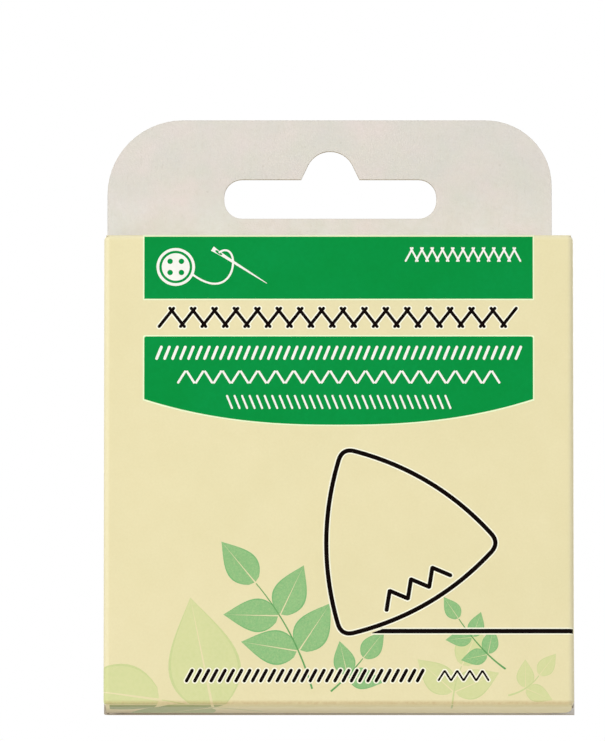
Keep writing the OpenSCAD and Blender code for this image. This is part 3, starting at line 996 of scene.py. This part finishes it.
# The rule line starts in a slanted point beside the triangle and runs to the right edge
RULE_START, RULE_FULL, RULE_END, RULE_MID, RULE_W = 5.0, 6.6, ARC_U - 0.55, 11.35, 0.68
RULE_POINT_H = 0.1
for ending, extra, lift, material in (("_keyline", KEY_W, KEY_LIFT, KEYLINE), ("", 0.0, INK_LIFT, BLACK)):
    half = LINE_W / 2 + extra
    drawing = [shifted(DRAWING, -half), shifted(DRAWING, half)[::-1]]
    print_shapes("chalk_drawing" + ending, [drawing], lift, material)
    start, full = RULE_START - extra, RULE_FULL - extra
    low, high = RULE_MID - RULE_W / 2 - extra, RULE_MID + RULE_W / 2 + extra
    rule = [(start, low), (RULE_END, low), (RULE_END, high), (full, high), (start, low + RULE_POINT_H)]
    print_shapes("rule_line" + ending, [[rule]], lift, material)


# Points round the chalk's rim, rings on each face, and how closely these crowd towards the rim
RIM_STEPS, FACE_RINGS, RING_CROWDING = 240, 21, 2.2
# How far the bevel's meeting with the face is rounded, either way, as a share of the bevel's width
BEVEL_SOFT = 0.15
# The marking edge is worn round over this width, by this share of its thickness
WORN_W, WORN_SHARE = 0.45, 0.42
# Unevenness of the bevel's foot and of the face: frequency per mm, height in mm, and the noise's layer
WAVER, PITS, DISHING = (0.35, 0.1, 3.0), (1.6, 0.03, 9.0), (0.12, 0.05, 5.0)
# How far the face lies inside the CAD's because of its pits, and the least half thickness
FACE_INSET, LEAST_HALF = 0.06, 0.08


def chalk_rim():
    """Outline of the chalk about its centroid, with swollen sides and round corners, and the
    centroid's height."""
    side_r = CHALK_SIDE ** 2 / (8 * CHALK_BULGE) + CHALK_BULGE / 2
    drop = CHALK_SIDE / (2 * math.sqrt(3)) + CHALK_BULGE
    corner_half = math.radians(30) + math.asin(CHALK_SIDE / 2 / side_r)
    corner_away = CHALK_SIDE / math.sqrt(3) - CHALK_CORNER_R / math.sin(corner_half)
    tops = [Vector(top) for top in arc((0, 0), 1, map(math.radians, (90, 210, 330)))]
    rim = []
    for way in map(Vector, ring((0, 0), 1, RIM_STEPS)):
        reach = NO_LIMIT
        for top in tops:
            across = way.dot(top) * (side_r - drop)
            reach = min(reach, across + math.sqrt(across ** 2 - (side_r - drop) ** 2 + side_r ** 2))
        # Near a corner its round disc ends the chalk sooner
        for top in tops:
            middle = top * corner_away
            across = way.dot(middle)
            inside = across ** 2 - middle.length_squared + CHALK_CORNER_R ** 2
            beyond = way * reach - middle
            past = beyond.length > CHALK_CORNER_R and beyond.normalized().dot(top) > math.sin(corner_half)
            if past and inside > 0:
                reach = across + math.sqrt(inside)
        rim.append(way * reach)
    return np.array(rim), drop


def unevenness(spot, frequency, height, layer):
    """Smooth noise of this height over the chalk's face."""
    return noise.noise(Vector((*spot, layer)) * frequency) * height


def chalk_half(spot, away):
    """Half the chalk's thickness at a spot this far in from its rim: soft bevel, worn edge, pitted face."""
    rise = min(max((away + unevenness(spot, *WAVER)) / CHALK_BEVEL_W, 0.0), 1 + BEVEL_SOFT)
    soft = min(rise - max(rise - 1 + BEVEL_SOFT, 0.0) ** 2 / (4 * BEVEL_SOFT), 1.0)
    half = CHALK_EDGE_T / 2 + (CHALK_T - CHALK_EDGE_T) / 2 * soft
    turn = 1 - min(away / WORN_W, 1.0)
    half -= CHALK_EDGE_T * WORN_SHARE * (1 - math.sqrt(1 - turn ** 2))
    pits = unevenness(spot, *PITS) + unevenness(spot, *DISHING)
    return max(half - FACE_INSET + pits, LEAST_HALF)


def make_chalk():
    """Pressed chalk in place of its CAD node."""
    rim, drop = chalk_rim()
    count = len(rim)
    runs = np.roll(rim, -1, axis=0) - rim
    shares = [1 - (1 - t) ** RING_CROWDING for t in even_shares(FACE_RINGS)[1:]]
    points = []
    for facing in (-1, 1):
        for spot in [np.zeros(2)] + [spot for share in shares for spot in rim * share]:
            along = np.clip(((spot - rim) * runs).sum(1) / (runs * runs).sum(1), 0, 1)
            away = float(np.sqrt(((rim + runs * along[:, None] - spot) ** 2).sum(1)).min())
            y = CHALK_Y + facing * chalk_half(spot, away)
            points.append(Vector((spot[0], y, spot[1] + BOARD + CHALK_GAP + drop)) * MM)
    last, side = len(shares) - 1, 1 + len(shares) * count
    faces = []
    for k in range(count):
        on = (k + 1) % count
        for first, way in ((0, 1), (side, -1)):
            faces.append([first, first + 1 + k, first + 1 + on][::way])
            for low in range(first + 1, first + 1 + last * count, count):
                faces.append([low + k, low + count + k, low + count + on, low + on][::way])
        front, back = 1 + last * count, side + 1 + last * count
        faces.append([front + k, back + k, back + on, front + on])
    mesh = bpy.data.meshes.new("chalk_body")
    mesh.from_pydata(points, [], faces)
    mesh.shade_smooth()
    finish_piece(add_object("chalk_body", mesh), "chalk", [CHALK], "chalk")


make_chalk()


def seen_directly(tree):
    """1 for the rays that look at the backdrop, straight, in a reflection or through glass, and 0
    for its light."""
    rays = add_node(tree, "ShaderNodeLightPath")
    seen = rays["Is Camera Ray"]
    for kind in ("Is Glossy Ray", "Is Transmission Ray"):
        seen = add_node(tree, "ShaderNodeMath", {0: seen, 1: rays[kind]}, operation="MAXIMUM")[0]
    return seen


FLOOR_REACH, FLOOR_Z, FLOOR_GLOW = 1.2, -0.24, 0.5
SKY_LIGHT = 0.575
LAMP_AIM = Vector((0, 0, 0.045))
# Name, place in metres, size in metres and power in watts of each lamp
LAMPS = [
    ("key_lamp", (-0.7, -0.9, 0.5), 0.35, 6.7),
    ("fill_lamp", (0.6, -1.0, 0.1), 0.6, 1.2),
    ("rear_lamp", (0.4, 0.95, 0.5), 0.5, 5.0),
]


def put_facing(thing, place, aim):
    """Puts a lamp or the camera at a place, facing its aim."""
    thing.location = place
    thing.rotation_euler = (aim - place).to_track_quat("-Z", "Y").to_euler()


def studio():
    """Plain pale floor below the hanging carton, white backdrop, and soft lamps."""
    mesh = bpy.data.meshes.new("studio_floor")
    corners = [(FLOOR_REACH * a, FLOOR_REACH * b, FLOOR_Z) for a, b in ((-1, -1), (1, -1), (1, 1), (-1, 1))]
    mesh.from_pydata(corners, [], [(0, 1, 2, 3)])
    material = bpy.data.materials.new("pale_studio_floor")
    tree = empty_tree(material)
    glow = add_node(tree, "ShaderNodeMath", {0: seen_directly(tree), 1: FLOOR_GLOW}, operation="MULTIPLY")[0]
    matt = add_node(tree, "ShaderNodeBsdfDiffuse", {"Color": linear("#E0DCD4")})[0]
    white = add_node(tree, "ShaderNodeEmission", {"Color": (1, 1, 1, 1), "Strength": glow})[0]
    both = add_node(tree, "ShaderNodeAddShader", {0: matt, 1: white})[0]
    add_node(tree, "ShaderNodeOutputMaterial", {"Surface": both})
    mesh.materials.append(material)
    add_object("studio_floor", mesh)

    world = bpy.data.worlds.new("studio_world")
    tree = empty_tree(world)
    level = add_node(tree, "ShaderNodeMapRange", {"Value": seen_directly(tree), "To Min": SKY_LIGHT})[0]
    sky = add_node(tree, "ShaderNodeBackground", {"Color": (1, 1, 1, 1), "Strength": level})[0]
    add_node(tree, "ShaderNodeOutputWorld", {"Surface": sky})
    bpy.context.scene.world = world

    for name, place, size, power in LAMPS:
        lamp = bpy.data.lights.new(name, "AREA")
        lamp.energy, lamp.size = power, size
        put_facing(add_object(name, lamp), Vector(place), LAMP_AIM)


# The camera looks up by this angle, from this many metres away, as at a packet hung above it
CAMERA_RISE, CAMERA_AWAY = math.radians(9.8), 3.0
# What the picture's height takes in: its pixels by the photo's scale
FRAME_TALL = 741 * 0.15025 * MM
CAMERA_AIM = Vector((-5.44, -HALF_D, 51.0)) * MM


def make_camera():
    """Long lens in front of the packet."""
    lens = bpy.data.cameras.new("camera")
    lens.sensor_width = 36.0
    lens.lens = lens.sensor_width * CAMERA_AWAY / FRAME_TALL
    lens.clip_start, lens.clip_end = 0.1, 50.0
    camera = add_object("camera", lens)
    back = Vector((0, -math.cos(CAMERA_RISE), -math.sin(CAMERA_RISE)))
    put_facing(camera, CAMERA_AIM + back * CAMERA_AWAY, CAMERA_AIM)
    bpy.context.scene.camera = camera


studio()
make_camera()
bpy.context.scene.view_settings.view_transform = "Standard"
